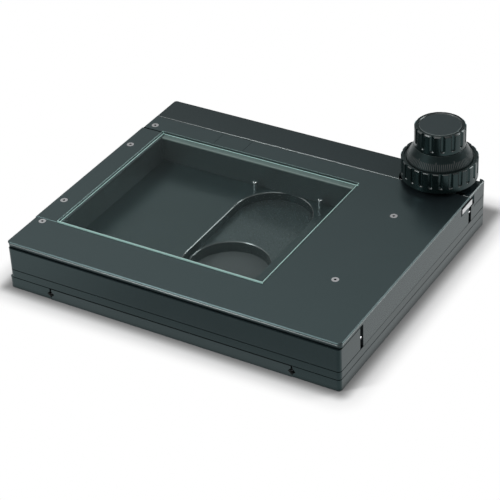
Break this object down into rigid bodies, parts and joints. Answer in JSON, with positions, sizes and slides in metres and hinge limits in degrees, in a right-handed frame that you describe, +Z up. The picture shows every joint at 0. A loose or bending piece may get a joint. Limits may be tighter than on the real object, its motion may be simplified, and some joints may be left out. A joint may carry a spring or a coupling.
{
  "type": "mechanical microscope stage",
  "caption": "Black mechanical microscope stage: a glass specimen plate on two crossed slides, driven by a coaxial pair of knobs through racks and pinions.",
  "frame": {"origin": "centre of the light hole in the base plate, on the underside", "axes": "+X to the right along the long front edge, +Y from the front edge to the knobs at the rear, +Z up"},
  "size_m": [0.382, 0.3458, 0.118],
  "materials": {
    "black_anodised": "fine satin black anodised, bevelled edges brighter",
    "black_cover": "fine-textured black coated sheet",
    "seat_rubber": "matt grey-green, smooth",
    "ground_steel": "ground and lightly oiled",
    "screw_steel": "bright plated",
    "dark_screw": "black oxide",
    "bearing_brass": "turned bearing bronze",
    "cage_brass": "stamped sheet",
    "knob_plastic": "fine matt moulded black",
    "dial_plastic": "satin black with fine scale marks",
    "clear_glass": "polished, ground edges"
  },
  "bodies": {
    "base": {"base_plate": "black_anodised", "y_fixed_rails": "ground_steel", "y_fixed_rail_end_screws": "screw_steel", "y_fixed_rail_screws": "dark_screw", "y_rack": "ground_steel", "y_rack_screws": "dark_screw", "y_stop_pin": "ground_steel", "y_cage_stop_pins": "ground_steel"},
    "y_carriage": {"carriage_plate": "black_anodised", "left_side_rail": "black_anodised", "right_side_rail": "black_anodised", "side_rail_screws": "dark_screw", "y_moving_rails": "ground_steel", "y_moving_rail_screws": "dark_screw", "front_beam": "black_anodised", "rear_beam": "black_anodised", "beam_screws": "dark_screw", "rear_cover": "black_anodised", "x_fixed_rails": "ground_steel", "x_fixed_rail_end_screws": "screw_steel", "x_fixed_rail_screws": "dark_screw", "x_cage_stop_pins": "ground_steel", "stop_posts": "screw_steel", "knob_bearing": "bearing_brass", "knob_bearing_screws": "dark_screw", "lower_bearing_bush": "bearing_brass"},
    "x_carriage": {"specimen_frame": "black_anodised", "x_moving_rails": "ground_steel", "x_moving_rail_screws": "dark_screw", "x_rack": "ground_steel", "x_rack_screws": "dark_screw", "top_cover": "black_cover", "left_cover_strip": "black_cover", "cover_screws": "dark_screw", "clamp_block": "black_cover", "clamp_block_screws": "dark_screw", "glass_plate": "clear_glass", "glass_seat_strip": "seat_rubber"},
    "y_cages": {"y_roller_cages": "cage_brass", "y_rollers": "ground_steel"},
    "x_cages": {"x_roller_cages": "cage_brass", "x_rollers": "ground_steel"},
    "y_knob": {"drive_shaft": "ground_steel", "y_pinion": "ground_steel", "dial_cone": "dial_plastic", "upper_knob": "knob_plastic", "upper_knob_screw": "dark_screw", "knob_cap": "knob_plastic"},
    "x_knob": {"tube_shaft": "ground_steel", "x_pinion": "ground_steel", "lower_knob": "knob_plastic", "lower_knob_screw": "dark_screw"}
  },
  "joints": [
    {"name": "y_slide", "type": "slide", "parent": "base", "child": "y_carriage", "axis": [0, 1, 0], "range_m": [-0.088, 0.012]},
    {"name": "x_slide", "type": "slide", "parent": "y_carriage", "child": "x_carriage", "axis": [1, 0, 0], "range_m": [-0.032, 0.118]},
    {"name": "y_cage_slide", "type": "slide", "parent": "base", "child": "y_cages", "axis": [0, 1, 0], "range_m": [-0.0445, 0.0065]},
    {"name": "x_cage_slide", "type": "slide", "parent": "y_carriage", "child": "x_cages", "axis": [1, 0, 0], "range_m": [-0.0165, 0.0595]},
    {"name": "y_knob_turn", "type": "hinge", "parent": "y_carriage", "child": "y_knob", "pos_m": [0.1465, 0.186, 0.05], "axis": [0, 0, 1], "range_deg": [-421, 58]},
    {"name": "x_knob_turn", "type": "hinge", "parent": "y_carriage", "child": "x_knob", "pos_m": [0.1465, 0.186, 0.05], "axis": [0, 0, 1], "range_deg": [-154, 564]}
  ],
  "couplings": [
    {"joint": "y_cage_slide", "follows": "y_slide", "ratio": 0.5},
    {"joint": "x_cage_slide", "follows": "x_slide", "ratio": 0.5},
    {"joint": "y_knob_turn", "follows": "y_slide", "rad_per_m": 83.333},
    {"joint": "x_knob_turn", "follows": "x_slide", "rad_per_m": 83.333}
  ]
}
